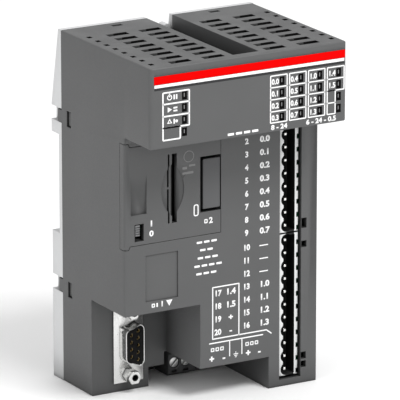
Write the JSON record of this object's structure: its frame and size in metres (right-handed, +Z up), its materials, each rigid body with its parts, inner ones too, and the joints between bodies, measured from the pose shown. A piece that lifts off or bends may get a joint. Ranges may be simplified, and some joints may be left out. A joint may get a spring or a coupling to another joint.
{
  "type": "programmable logic controller module",
  "caption": "Compact DIN-rail controller module with an overhanging indicator panel, louvred top, serial port, signal pin headers, pull-off option cover and a pluggable supply terminal.",
  "frame": {"origin": "middle of the bounding box's lower face, which the casing stands on", "axes": "+X to the right of the front, +Y to the back (rail side), +Z up along the height"},
  "size_m": [0.082, 0.074, 0.135],
  "materials": {
    "housing": "fine-textured dark grey moulding",
    "base": "light grey moulding",
    "band": "red printed foil, satin",
    "blank": "dark grey moulding",
    "black_plastic": "black glass-filled moulding",
    "knob": "mid grey moulding",
    "light_pipe": "smoked translucent, polished end",
    "board": "green solder mask",
    "led": "clear resin",
    "header": "pale grey moulding",
    "tinned_pins": "tinned brass",
    "plated_steel": "bright nickel-plated steel",
    "gold_contacts": "gold flash",
    "supply_header": "dark grey moulding",
    "brass_contacts": "brass",
    "cage_steel": "zinc-plated steel",
    "spring_steel": "spring steel",
    "chip": "black epoxy",
    "capacitor_sleeve": "shrink sleeve",
    "ferrite": "ferrite",
    "crystal_can": "drawn metal can",
    "backup_sleeve": "blue sleeve",
    "board_screws": "zinc-plated steel"
  },
  "bodies": {
    "casing": {"front_housing": "housing", "rear_base": "base", "coloured_band": "band", "run_stop_switch": "black_plastic", "card_socket": "black_plastic", "option_connector": "black_plastic", "left_light_pipe": "light_pipe", "right_light_pipe": "light_pipe", "indicator_board": "board", "indicator_leds": "led", "indicator_link": "black_plastic", "front_board": "board", "base_board": "board", "riser_board": "board", "riser_sockets": "black_plastic", "upper_header": "header", "upper_pins": "tinned_pins", "lower_header": "header", "lower_pins": "tinned_pins", "serial_shell": "plated_steel", "serial_insert": "black_plastic", "serial_contacts": "gold_contacts", "serial_jackscrews": "plated_steel", "supply_header": "supply_header", "supply_header_pins": "tinned_pins", "latch_spring": "spring_steel", "bus_connector": "black_plastic", "bus_contacts": "gold_contacts", "processor": "chip", "memory_chips": "chip", "driver_chips": "chip", "supply_capacitors": "capacitor_sleeve", "supply_inductor": "ferrite", "clock_crystal": "crystal_can", "backup_capacitor": "backup_sleeve", "front_board_screws": "board_screws", "base_board_screws": "board_screws", "indicator_board_screws": "board_screws"},
    "option_cover": {"option_cover": "housing"},
    "option_blank": {"option_blank": "blank"},
    "run_stop_knob": {"run_stop_knob": "knob"},
    "rail_latch": {"rail_latch": "supply_header"},
    "supply_plug": {"supply_plug": "blank", "supply_contacts": "brass_contacts"},
    "clamp_screw_1": {"clamp_screw_1": "plated_steel"},
    "clamp_screw_2": {"clamp_screw_2": "plated_steel"},
    "clamp_screw_3": {"clamp_screw_3": "plated_steel"},
    "clamp_screw_4": {"clamp_screw_4": "plated_steel"},
    "clamp_screw_5": {"clamp_screw_5": "plated_steel"},
    "clamp_cage_1": {"clamp_cage_1": "cage_steel"},
    "clamp_cage_2": {"clamp_cage_2": "cage_steel"},
    "clamp_cage_3": {"clamp_cage_3": "cage_steel"},
    "clamp_cage_4": {"clamp_cage_4": "cage_steel"},
    "clamp_cage_5": {"clamp_cage_5": "cage_steel"}
  },
  "joints": [
    {"name": "option_cover_pull", "type": "slide", "parent": "casing", "child": "option_cover", "axis": [0, -1, 0], "range_m": [0, 0.03]},
    {"name": "option_blank_pull", "type": "slide", "parent": "casing", "child": "option_blank", "axis": [0, -1, 0], "range_m": [0, 0.02]},
    {"name": "run_stop_slide", "type": "slide", "parent": "casing", "child": "run_stop_knob", "axis": [0, 0, -1], "range_m": [0, 0.0018]},
    {"name": "rail_latch_slide", "type": "slide", "parent": "casing", "child": "rail_latch", "axis": [0, 0, -1], "range_m": [0, 0.005], "stiffness_N_per_m": 1200, "springref_m": -0.003, "deforming": ["latch_spring"]},
    {"name": "supply_plug_pull", "type": "slide", "parent": "casing", "child": "supply_plug", "axis": [0, -1, 0], "range_m": [0, 0.02]},
    {"name": "clamp_screw_1_turn", "type": "hinge", "parent": "supply_plug", "child": "clamp_screw_1", "pos_m": [-0.00268, 0.013, 0.0054], "axis": [0, 1, 0], "range_deg": [0, 1440]},
    {"name": "clamp_cage_1_rise", "type": "slide", "parent": "supply_plug", "child": "clamp_cage_1", "axis": [0, -1, 0], "range_m": [0, 0.002]},
    {"name": "clamp_screw_2_turn", "type": "hinge", "parent": "supply_plug", "child": "clamp_screw_2", "pos_m": [0.00236, 0.013, 0.0054], "axis": [0, 1, 0], "range_deg": [0, 1440]},
    {"name": "clamp_cage_2_rise", "type": "slide", "parent": "supply_plug", "child": "clamp_cage_2", "axis": [0, -1, 0], "range_m": [0, 0.002]},
    {"name": "clamp_screw_3_turn", "type": "hinge", "parent": "supply_plug", "child": "clamp_screw_3", "pos_m": [0.0074, 0.013, 0.0054], "axis": [0, 1, 0], "range_deg": [0, 1440]},
    {"name": "clamp_cage_3_rise", "type": "slide", "parent": "supply_plug", "child": "clamp_cage_3", "axis": [0, -1, 0], "range_m": [0, 0.002]},
    {"name": "clamp_screw_4_turn", "type": "hinge", "parent": "supply_plug", "child": "clamp_screw_4", "pos_m": [0.01244, 0.013, 0.0054], "axis": [0, 1, 0], "range_deg": [0, 1440]},
    {"name": "clamp_cage_4_rise", "type": "slide", "parent": "supply_plug", "child": "clamp_cage_4", "axis": [0, -1, 0], "range_m": [0, 0.002]},
    {"name": "clamp_screw_5_turn", "type": "hinge", "parent": "supply_plug", "child": "clamp_screw_5", "pos_m": [0.01748, 0.013, 0.0054], "axis": [0, 1, 0], "range_deg": [0, 1440]},
    {"name": "clamp_cage_5_rise", "type": "slide", "parent": "supply_plug", "child": "clamp_cage_5", "axis": [0, -1, 0], "range_m": [0, 0.002]}
  ],
  "couplings": [
    {"joint": "clamp_screw_1_turn", "follows": "clamp_cage_1_rise", "rad_per_m": 12566},
    {"joint": "clamp_screw_2_turn", "follows": "clamp_cage_2_rise", "rad_per_m": 12566},
    {"joint": "clamp_screw_3_turn", "follows": "clamp_cage_3_rise", "rad_per_m": 12566},
    {"joint": "clamp_screw_4_turn", "follows": "clamp_cage_4_rise", "rad_per_m": 12566},
    {"joint": "clamp_screw_5_turn", "follows": "clamp_cage_5_rise", "rad_per_m": 12566}
  ]
}
